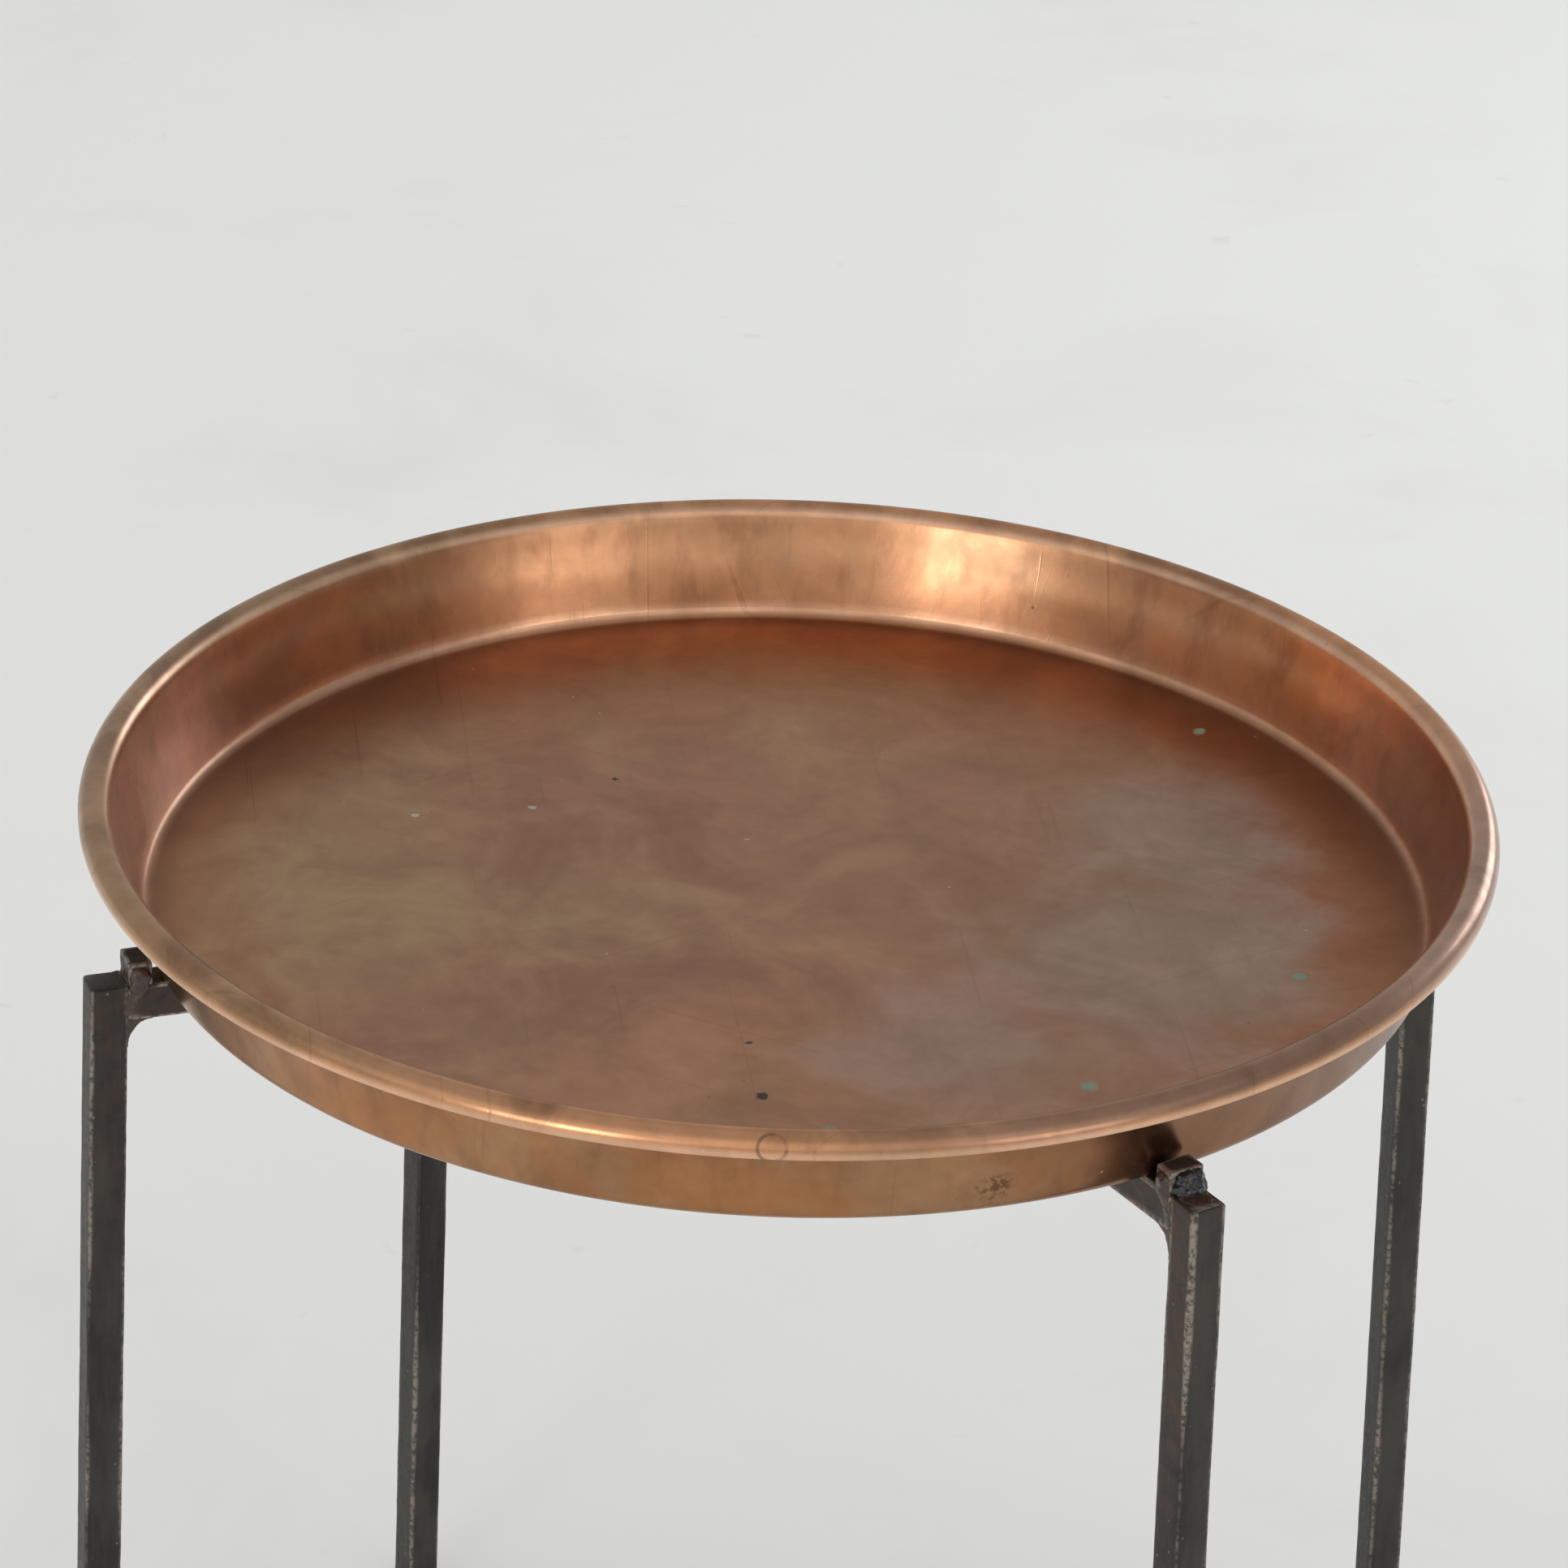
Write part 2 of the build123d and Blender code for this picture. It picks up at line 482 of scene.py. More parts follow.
    def towards(self, unit: Socket, way: Point, low: float, high: float) -> Socket:
        """How nearly a unit vector points one way.

        Args:
            unit: The vector.
            way: The direction, of length 1.
            low: Cosine at which the result is 0.
            high: Cosine at which it is 1.

        Returns:
            1 along the direction, 0 away from it.
        """
        return self.ramp(self.vector("DOT_PRODUCT", unit, way).outputs["Value"], low, high)

    def ramp(self, value: Socket, low: float, high: float, bottom: float = 0.0, top: float = 1.0) -> Socket:
        """Smooth ramp from bottom at low to top at high, flat beyond.

        Args:
            value: The value to look up.
            low: Where the ramp starts.
            high: Where it ends; it may be the smaller of the two.
            bottom: Result at low.
            top: Result at high.

        Returns:
            The ramp's height.
        """
        node = self.nodes.new("ShaderNodeMapRange")
        node.interpolation_type = "SMOOTHSTEP"
        self.links.new(value, node.inputs["Value"])
        start, end, first, last = (low, high, bottom, top) if low < high else (high, low, top, bottom)
        for name, number in (("From Min", start), ("From Max", end), ("To Min", first), ("To Max", last)):
            node.inputs[name].default_value = number
        return node.outputs["Result"]

    def mix(self, share: object, under: object, over: object, kind: str = "MIX") -> Socket:
        """Lay one colour over another.

        Args:
            share: How much of the upper colour shows.
            under: Lower colour or socket.
            over: Upper colour or socket.
            kind: Blender's name of the blend.

        Returns:
            The mixed colour.
        """
        node = self.nodes.new("ShaderNodeMix")
        node.data_type = "RGBA"
        node.blend_type = kind
        for target, value in ((0, share), (COLOUR_A, under), (COLOUR_B, over)):
            self._plug(node.inputs[target], value)
        return node.outputs[COLOUR_OUT]

    def lay_tint(self, colour: Socket, over: object, where: Socket, strength: float) -> Socket:
        """Lay a tint over a colour: a stain, or painted light or shade.

        Args:
            colour: The colour below.
            over: The tint's colour.
            where: Where it lies, 0 to 1.
            strength: How much of it shows where it lies fully.

        Returns:
            The tinted colour.
        """
        return self.mix(self.times(where, strength), colour, over)

    def reach(self, place: Socket, middle: Point) -> Socket:
        """Distance in metres from a point of the piece."""
        gap = self.vector("SUBTRACT", place, middle)
        return self.vector("LENGTH", gap.outputs["Vector"]).outputs["Value"]

    def blot(
        self, place: Socket, middle: Point, radius: float, soft: float, ragged: Socket | None = None
    ) -> Socket:
        """Soft round mark with a ragged edge.

        Args:
            place: Coordinates.
            middle: The mark's centre.
            radius: Its radius.
            soft: Width of its soft edge.
            ragged: Offset in metres added to the distance.

        Returns:
            1 in the middle, 0 outside.
        """
        gap = self.reach(place, middle)
        if ragged is not None:
            gap = self.plus(gap, ragged)
        return self.ramp(gap, radius + soft / 2, max(0.0, radius - soft / 2))

    def stored(self, name: str) -> Socket:
        """Number stored on the piece's points under a name."""
        node = self.nodes.new("ShaderNodeAttribute")
        node.attribute_name = name
        return node.outputs["Fac"]

    def axes(self, place: Socket) -> dict[str, Socket]:
        """X, Y and Z of coordinates."""
        node = self.nodes.new("ShaderNodeSeparateXYZ")
        self.links.new(place, node.inputs[0])
        return {name: node.outputs[name] for name in "XYZ"}

    def join_axes(self, x: object, y: object, z: object) -> Socket:
        """Coordinates from three numbers or sockets."""
        node = self.nodes.new("ShaderNodeCombineXYZ")
        for target, value in zip(node.inputs, (x, y, z)):
            self._plug(target, value)
        return node.outputs["Vector"]


class Recipe(Patterns):
    """Node tree of one finish, ending in a Principled shader."""

    def __init__(self, name: str) -> None:
        """Start a material.

        Args:
            name: Name of the material.
        """
        self.material = bpy.data.materials.new(name)
        self.material.use_nodes = True
        super().__init__(self.material.node_tree, "Object")
        self.shader = self.nodes["Principled BSDF"]

    def set(self, **values: float) -> None:
        """Set constants on the shader, with spaces in names written as underscores."""
        for name, value in values.items():
            self.shader.inputs[name.replace("_", " ")].default_value = value

    def feed(self, name: str, source: Socket) -> None:
        """Link a socket to one of the shader's inputs."""
        self.links.new(source, self.shader.inputs[name])

    def bump(self, heights: list[tuple[Socket, float]]) -> None:
        """Raise the surface by several patterns, one over the other.

        Args:
            heights: Each pattern with its height in metres.
        """
        below = None
        for height, size in heights:
            node = self.nodes.new("ShaderNodeBump")
            node.inputs["Strength"].default_value = 1.0
            node.inputs["Distance"].default_value = size
            self.links.new(height, node.inputs["Height"])
            if below is not None:
                self.links.new(below, node.inputs["Normal"])
            below = node.outputs["Normal"]
        self.feed("Normal", below)


@dataclass(frozen=True)
class CopperPatinaAndPaintedLight:
    """Worn copper sheet: olive-brown patina, stains, verdigris spots, fine scratches, with painted
    highlights, painted reflections and painted shade in its colour.
    """

    rose: Colour = (0.425, 0.222, 0.145)
    olive: Colour = (0.450, 0.292, 0.172)
    clean: Colour = (0.65, 0.325, 0.170)
    outer: Colour = (0.42, 0.195, 0.085)
    polished: Colour = (0.88, 0.57, 0.40)
    # Orange is laid on only as the painted reflection of the wall round the floor's edge
    reflection_orange: Colour = (0.46, 0.165, 0.062)
    mauve: Colour = (0.385, 0.290, 0.245)
    # Lilac is laid on only as painted highlight on the inner wall
    highlight_lilac: Colour = (0.60, 0.47, 0.47)
    umber: Colour = (0.20, 0.098, 0.055)
    verdigris: Colour = (0.16, 0.24, 0.17)
    soot: Colour = (0.045, 0.03, 0.025)
    dust: Colour = (0.62, 0.55, 0.46)
    floor_up: float = 0.5397
    wall_foot: float = 0.2690
    wall_radius: float = 0.29
    rim_up: float = 0.583
    # Patches and spots on the floor: x, y, radius
    warm_patches: tuple[Point, ...] = ((0.055, -0.150, 0.075),)
    olive_patches: tuple[Point, ...] = (
        (-0.185, -0.085, 0.085), (-0.215, 0.015, 0.055), (-0.075, -0.055, 0.05),
    )
    tarnish_patches: tuple[Point, ...] = (
        (0.172, 0.006, 0.075), (0.150, 0.105, 0.055), (0.105, -0.105, 0.04),
    )
    green_spots: tuple[Point, ...] = (
        (0.122, 0.217, 0.0030), (0.169, -0.114, 0.0036), (0.083, -0.188, 0.0030), (0.224, 0.009, 0.002),
    )
    black_spots: tuple[Point, ...] = (
        (0.049, -0.172, 0.0022), (0.030, -0.133, 0.0014), (-0.104, 0.07, 0.0012),
    )
    pale_spots: tuple[Point, ...] = (
        (-0.128, 0.029, 0.0011), (-0.031, 0.037, 0.0009), (-0.172, 0.003, 0.0013),
    )
    # Stains, darker tones, painted shadow, painted highlights and painted reflections towards one side:
    # bearing in degrees, cosines where they begin and are full
    # Painted reflection: the copper wall mirrored orange in the floor's edge, strongest this way
    painted_reflection_side: Side = (62.0, -0.1, 0.9)
    shadow_side: Side = (45.0, 0.55, 0.98)
    # Painted highlight: lilac light reflected on the inner wall to the left
    painted_lilac_highlight_side: Side = (192.0, 0.78, 0.98)
    # Painted dark reflection: the inner wall to the left back darkened where it mirrors a dark part of the
    # room
    painted_dark_reflection_side: Side = (158.0, 0.93, 0.995)
    # Painted highlight: cool light on the inner wall and bend to the right
    painted_cool_highlight_side: Side = (18.0, 0.80, 0.97)
    # The outer wall is darker towards the right front
    outer_dark_side: Side = (-22.0, 0.80, 0.97)
    olive_rim: Side = (195.0, 0.1, 0.9)
    # Painted highlight: cool mauve along the rim on the right
    painted_cool_rim_highlight: Side = (-15.0, 0.55, 0.95)
    umber_rim: Side = (-36.0, 0.90, 0.985)
    ring_mark: Point = (0.0913, -0.2852, 0.5856)
    ring_radius: float = 0.0056
    scorch_mark: Point = (0.1638, -0.2250, 0.5519)

    def make(self) -> Look:
        """Build the node tree.

        Returns:
            The material.
        """
        mix = Recipe("copper_patina_and_painted_light")
        place = mix.place
        axis = mix.axes(place)
        flat = mix.join_axes(axis["X"], axis["Y"], 0.0)
        unit = mix.vector("NORMALIZE", flat).outputs["Vector"]
        out = mix.reach(flat, (0, 0, 0))
        around = mix.times(mix.math("ARCTAN2", axis["Y"], axis["X"]), self.wall_radius)
        wall = mix.ramp(out, self.wall_foot + 0.001, self.wall_foot + 0.007)
        broad = mix.noise(place, 5.5, 4.0, 0.55, 0.6)
        cloud = mix.noise(mix.move(place, turn=(0, 0, 40)), 14.0, 5.0, 0.6, 0.9)
        fine = mix.noise(place, 90.0, 4.0, 0.6)
        ragged = mix.ramp(cloud, 0.25, 0.75, -0.035, 0.035)

        def side(which: Side) -> Socket:
            """Where a stain, a darker tone or painted light towards one side lies."""
            degrees, low, high = which
            return mix.towards(unit, direction(degrees), low, high)

        # The flat floor: rose brown, olive to the left, mauve tarnish to the right, a painted reflection of
        # the wall round its edge and painted shadow at the back right
        colour = mix.mix(mix.ramp(broad, 0.44, 0.64, 0.0, 0.6), self.rose, self.olive)
        colour = mix.lay_tint(colour, self.clean, self._marks(mix, self.warm_patches, ragged, 0.13), 0.30)
        colour = mix.lay_tint(colour, self.olive, self._marks(mix, self.olive_patches, ragged, 0.09), 0.75)
        tarnish = self._marks(mix, self.tarnish_patches, ragged, 0.075)
        colour = mix.lay_tint(colour, self.mauve, tarnish, 0.60)
        # Painted reflection: an orange ring round the floor's edge, strongest towards the back right, stands
        # in for the copper wall mirrored in the floor
        painted_reflection_ring = mix.ramp(mix.plus(out, mix.times(ragged, 0.5)), 0.205, 0.262)
        behind = mix.plus(0.35, mix.times(side(self.painted_reflection_side), 0.6))
        colour = mix.mix(mix.times(painted_reflection_ring, behind), colour, self.reflection_orange)
        shadow = mix.times(mix.ramp(out, 0.222, 0.262), side(self.shadow_side))
        colour = mix.lay_tint(colour, self.umber, shadow, 0.62)
        edge = mix.times(mix.ramp(out, 0.255, 0.269), mix.ramp(out, 0.2735, 0.2705))
        colour = mix.lay_tint(colour, self.umber, edge, 0.45)

        # The wall and the rim: rubbed cleaner, with upright runs of tarnish; painted highlights and a
        # painted dark reflection on the inner wall, a painted cool highlight on the rim, and the outer wall
        # darker to the right front
        runs = mix.noise(mix.join_axes(around, mix.times(axis["Z"], 0.3), out), 60.0, 4.0, 0.6)
        patch = mix.noise(mix.join_axes(around, axis["Z"], out), 15.0, 4.0, 0.55, 0.5)
        outside = mix.stored(OUTSIDE)
        inside = mix.minus(1.0, outside)
        rubbed = mix.mix(outside, self.clean, self.outer)
        rubbed = mix.mix(mix.ramp(patch, 0.44, 0.66, 0.0, 0.45), rubbed, self.olive)
        rubbed = mix.mix(mix.ramp(runs, 0.46, 0.70, 0.0, 0.34), rubbed, self.umber)
        # Painted highlight: lilac light reflected on the inner wall to the left, broken up by the patches
        painted_lilac_highlight = mix.times(side(self.painted_lilac_highlight_side), mix.ramp(patch, 0.30, 0.55, 1.0, 0.5), inside)
        rubbed = mix.lay_tint(rubbed, self.highlight_lilac, painted_lilac_highlight, 0.8)
        # Painted dark reflection: the inner wall darkened to the left back
        rubbed = mix.lay_tint(rubbed, self.umber, mix.times(inside, side(self.painted_dark_reflection_side)), 0.62)
        # Painted highlight: cool light on the inner wall to the right
        rubbed = mix.lay_tint(rubbed, self.highlight_lilac, mix.times(inside, side(self.painted_cool_highlight_side)), 0.40)
        # The outer wall is darker towards the right front
        rubbed = mix.lay_tint(rubbed, self.umber, mix.times(outside, side(self.outer_dark_side)), 0.72)
        rim_wear_and_highlight = mix.mix(side(self.olive_rim), self.clean, self.olive)
        # Painted highlight: cool mauve along the rim on the right
        rim_wear_and_highlight = mix.lay_tint(rim_wear_and_highlight, self.mauve, side(self.painted_cool_rim_highlight), 0.8)
        rim_wear_and_highlight = mix.mix(mix.ramp(cloud, 0.45, 0.66, 0.0, 0.5), rim_wear_and_highlight, self.umber)
        rim_wear_and_highlight = mix.lay_tint(rim_wear_and_highlight, self.umber, side(self.umber_rim), 0.55)
        rim = mix.times(mix.ramp(axis["Z"], self.rim_up - 0.001, self.rim_up + 0.0035), wall)
        # rubbed holds the wall's wear together with the painted highlights and painted dark reflection laid
        # on above
        rubbed = mix.lay_tint(rubbed, rim_wear_and_highlight, rim, 0.85)
        bright = mix.times(mix.stored(RUBBED), mix.ramp(patch, 0.30, 0.55, 0.95, 0.55))
        colour = mix.mix(wall, colour, mix.mix(bright, rubbed, self.polished))

        # Spots, on the upper side only
        tiny = mix.ramp(fine, 0.3, 0.7, -0.0016, 0.0016)
        upper = mix.ramp(axis["Z"], self.floor_up - 0.0007, self.floor_up - 0.0003)
        green, black, pale = (
            mix.times(self._marks(mix, spots, tiny), upper)
            for spots in (self.green_spots, self.black_spots, self.pale_spots)
        )
        wall_marks = mix.times(mix.specks(mix.join_axes(around, axis["Z"], 0.0), 30.0, 0.04), wall)
        black = mix.most(black, mix.times(wall_marks, 0.7))
        dust = mix.times(mix.specks(place, 60.0, 0.045), 0.55)
        pits = mix.specks(mix.move(place, turn=(0, 0, 25)), 85.0, 0.06)
        colour = mix.lay_tint(colour, self.umber, pits, 0.6)
        colour = mix.mix(mix.most(pale, dust), colour, self.dust)
        colour = mix.mix(black, colour, self.soot)
        colour = mix.lay_tint(colour, self.verdigris, green, 0.85)
        off_ring = mix.math("ABSOLUTE", mix.minus(mix.reach(place, self.ring_mark), self.ring_radius))
        ring = mix.times(mix.ramp(off_ring, 0.0010, 0.0004), mix.ramp(fine, 0.35, 0.55, 0.3, 0.8))
        crumbs = mix.ramp(mix.noise(place, 420.0, 3.0, 0.6), 0.42, 0.58)
        scorch = mix.times(mix.blot(place, self.scorch_mark, 0.0065, 0.007, tiny), crumbs)
        colour = mix.lay_tint(colour, self.soot, mix.most(ring, scorch), 0.62)

        # Fine scratches, in three directions on the floor and upright on the wall
        hairs = [
            mix.noise(mix.move(place, (length, 210.0, length), (0, 0, degrees)), 1.6, 1.0, 0.4, 0.15)
            for degrees, length in ((8, 3.0), (64, 4.0), (128, 2.4))
        ]
        lines = mix.most(*(mix.ramp(hair, 0.735, 0.775) for hair in hairs))
        upright = mix.join_axes(mix.times(around, 420.0), mix.times(axis["Z"], 9.0), 0.0)
        below_rim = mix.times(wall, mix.ramp(axis["Z"], self.rim_up + 0.001, self.rim_up - 0.005))
        upright = mix.times(mix.ramp(mix.noise(upright, 1.0, 2.0, 0.5), 0.66, 0.74), below_rim)
        scratch = mix.most(mix.times(lines, 0.55), mix.times(upright, 0.8))
        colour = mix.lay_tint(colour, self.umber, scratch, 0.30)
        shade = mix.times(mix.ramp(fine, 0.25, 0.75, 0.94, 1.06), mix.ramp(cloud, 0.28, 0.72, 1.10, 0.86))
        colour = mix.mix(1.0, colour, mix.join_axes(shade, shade, shade), "MULTIPLY")
        mix.feed("Base Color", colour)

        dull = mix.most(green, black, mix.times(dust, 0.6))
        mix.feed("Metallic", mix.minus(1.0, mix.times(dull, 0.8)))
        rough = mix.plus(mix.ramp(cloud, 0.30, 0.70, 0.27, 0.38), mix.times(tarnish, 0.06))
        rough = mix.minus(rough, mix.times(wall, 0.05))
        rough = mix.minus(rough, mix.times(scratch, 0.06))
        mix.feed("Roughness", mix.plus(rough, mix.times(dull, 0.3)))
        swell = mix.noise(place, 9.0, 2.0, 0.45)
        grain = mix.noise(place, 1400.0, 2.0, 0.6)
        mix.bump([(swell, 0.0016), (fine, 0.00004), (grain, 0.000012), (scratch, -0.00003), (green, 0.0003)])
        return mix.material

    def _marks(self, mix: Recipe, marks: tuple[Point, ...], ragged: Socket, soft: float = 0.0) -> Socket:
        """Largest of several marks on the floor.

        Args:
            mix: The recipe in hand.
            marks: Each mark's x, y and radius.
            ragged: Offset in metres that roughens their edges.
            soft: Width of their soft edges, or 0 for a share of the radius.

        Returns:
            1 inside a mark, 0 outside.
        """
        return mix.most(*(
            mix.blot(mix.place, (x, y, self.floor_up), radius, soft or radius * 0.6, ragged)
            for x, y, radius in marks
        ))


@dataclass(frozen=True)
class BlackIron:
    """Blackened square bar under old lacquer, rusty near the welds, rubbed pale on its arrises."""

    iron: Colour = (0.014, 0.0133, 0.013)
    green_grey: Colour = (0.046, 0.046, 0.040)
    brown: Colour = (0.060, 0.032, 0.020)
    rubbed: Colour = (0.36, 0.31, 0.26)
    straw: Colour = (0.17, 0.105, 0.055)

    def make(self) -> Look:
        """Build the node tree.

        Returns:
            The material.
        """
        mix = Recipe("black_iron")
        place = mix.place
        broad = mix.noise(mix.move(place, (1, 1, 0.35)), 26.0, 4.0, 0.6)
        mill = mix.noise(mix.move(place, (1, 1, 0.08)), 420.0, 3.0, 0.6)
        fine = mix.noise(place, 380.0, 4.0, 0.65)
        blotch = mix.noise(place, 95.0, 4.0, 0.6, 0.5)
        arris, rust, heat = mix.stored(ARRIS), mix.stored(RUST), mix.stored(HEAT)
        colour = mix.mix(mix.ramp(broad, 0.40, 0.64), self.iron, self.green_grey)
        colour = mix.mix(mix.ramp(mill, 0.45, 0.75, 0.0, 0.35), colour, self.green_grey)
        ruddy = mix.times(rust, mix.ramp(blotch, 0.28, 0.62))
        flecks = mix.ramp(mix.noise(place, 210.0, 3.0, 0.7), 0.63, 0.70, 0.0, 0.6)
        colour = mix.mix(mix.most(ruddy, flecks), colour, self.brown)
        tint = mix.times(heat, mix.ramp(blotch, 0.40, 0.60))
        colour = mix.lay_tint(colour, self.straw, tint, 0.75)
        worn = mix.plus(arris, mix.ramp(broad, 0.3, 0.7, -0.20, 0.20))
        speckle = mix.times(mix.ramp(worn, 0.35, 0.80), mix.ramp(fine, 0.38, 0.58, 0.10, 1.0))
        colour = mix.lay_tint(colour, self.rubbed, speckle, 0.85)
        colour = mix.lay_tint(colour, self.rubbed, mix.specks(place, 170.0, 0.13), 0.5)
        mix.feed("Base Color", colour)
        mix.feed("Metallic", mix.times(speckle, 0.55))
        rough = mix.ramp(broad, 0.3, 0.7, 0.40, 0.56)
        rough = mix.minus(rough, mix.times(ruddy, 0.12))
        rough = mix.plus(rough, mix.ramp(fine, 0.3, 0.7, -0.05, 0.07))
        mix.feed("Roughness", rough)
        mix.set(Specular_IOR_Level=0.34)
        mix.bump([(blotch, 0.0005), (mill, 0.00012), (fine, 0.00009), (speckle, -0.0001)])
        return mix.material


class WeldLook(Enum):
    """The two looks of weld metal on the stand."""

    BEAD = "bead"
    GLAZE = "glaze"


@dataclass(frozen=True)
class WeldMetal:
    """Weld metal: lumpy glossy black beads, or smooth brown glaze over the joints."""

    look: WeldLook
    black: Colour = (0.012, 0.012, 0.014)
    slate: Colour = (0.060, 0.066, 0.078)
    brown: Colour = (0.036, 0.019, 0.014)
    amber: Colour = (0.085, 0.046, 0.027)

    def make(self) -> Look:
        """Build the node tree.

        Returns:
            The material.
        """
        mix = Recipe(f"weld_{self.look.value}")
        place = mix.place
        cloud = mix.noise(place, 260.0, 4.0, 0.6, 0.6)
        fine = mix.noise(place, 1100.0, 3.0, 0.6)
        bead = self.look is WeldLook.BEAD
        dark, light = (self.black, self.slate) if bead else (self.brown, self.amber)
        colour = mix.mix(mix.ramp(cloud, 0.42, 0.68), dark, light)
        colour = mix.mix(mix.ramp(fine, 0.60, 0.74, 0.0, 0.5), colour, self.amber if bead else self.black)
        mix.feed("Base Color", colour)
        mix.set(Metallic=0.55 if bead else 0.12, Coat_Weight=0.5 if bead else 0.35, Coat_Roughness=0.12)
        mix.feed("Roughness", mix.ramp(cloud, 0.3, 0.7, 0.20, 0.38))
        mix.bump([(cloud, 0.0010 if bead else 0.0004), (fine, 0.00012)])
        return mix.material


@dataclass(frozen=True)
class PaleFloor:
    """Pale studio floor with faint smudges."""

    pale: Colour = (0.87, 0.875, 0.85)
    smudge: Colour = (0.80, 0.80, 0.765)

    def make(self) -> Look:
        """Build the node tree.

        Returns:
            The material.
        """
        mix = Recipe("pale_floor")
        place = mix.place
        cloud = mix.noise(place, 2.2, 6.0, 0.62, 0.4)
        fleck = mix.noise(place, 16.0, 5.0, 0.6, 0.8)
        share = mix.most(mix.ramp(cloud, 0.48, 0.68, 0.0, 0.55), mix.ramp(fleck, 0.66, 0.74, 0.0, 0.8))
        mix.feed("Base Color", mix.mix(share, self.pale, self.smudge))
        mix.feed("Roughness", mix.ramp(cloud, 0.3, 0.7, 0.62, 0.74))
        mix.bump([(fleck, 0.0004)])
        return mix.material


# ---------------------------------------------------------------- the stand's plan


@dataclass(frozen=True)
class StandPlan:
    """Sizes that the pieces of the stand share; the height of its top is read from the frame."""

    bar: float = 16.0 * MM
    edge: float = 1.5 * MM
    half_span: float = 297.0 * MM
    splay: float = math.radians(1.6)
    worn_from: float = 2.6 * MM
    worn_full: float = 0.9 * MM
    top: float = field(default_factory=lambda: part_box("crossbar_lower")[1].z)

    @property
    def inner_face(self) -> float:
        """Distance from the stand's middle to a leg's inner face at its top."""
        return self.half_span - self.bar / 2

    @property
    def under(self) -> float:
        """Height of the underside of the crossbars."""
        return self.top - self.bar

    def arris_of(self, across: float, other: float) -> float:
        """How near a point is to the bar's corner line, from its two distances to the axis.

        Args:
            across: Distance from the axis one way.
            other: Distance from the axis the other way.

        Returns:
            1 on the corner line, 0 on the flats.
        """
        half = self.bar / 2
        return soft_step(half - self.worn_from, half - self.worn_full, min(abs(across), abs(other)))


class Corner(Enum):
    """The four corners: name, turn about +Z in degrees, and body."""

    FRONT_LEFT = ("front_left", 218.0, "lower_frame")
    FRONT_RIGHT = ("front_right", -38.0, "upper_frame")
    BACK_LEFT = ("back_left", 142.0, "upper_frame")
    BACK_RIGHT = ("back_right", 38.0, "lower_frame")

    @property
    def label(self) -> str:
        """Name used in the nodes of this corner."""
        return self.value[0]

    @property
    def turn(self) -> float:
        """Turn about +Z in radians."""
        return math.radians(self.value[1])

    @property
    def body(self) -> str:
        """Body that this corner moves with."""
        return self.value[2]

    def local(self, point: Vector) -> Vector:
        """A point in the corner's own directions: out, across and up."""
        return Matrix.Rotation(-self.turn, 3, "Z") @ point


# ---------------------------------------------------------------- tray


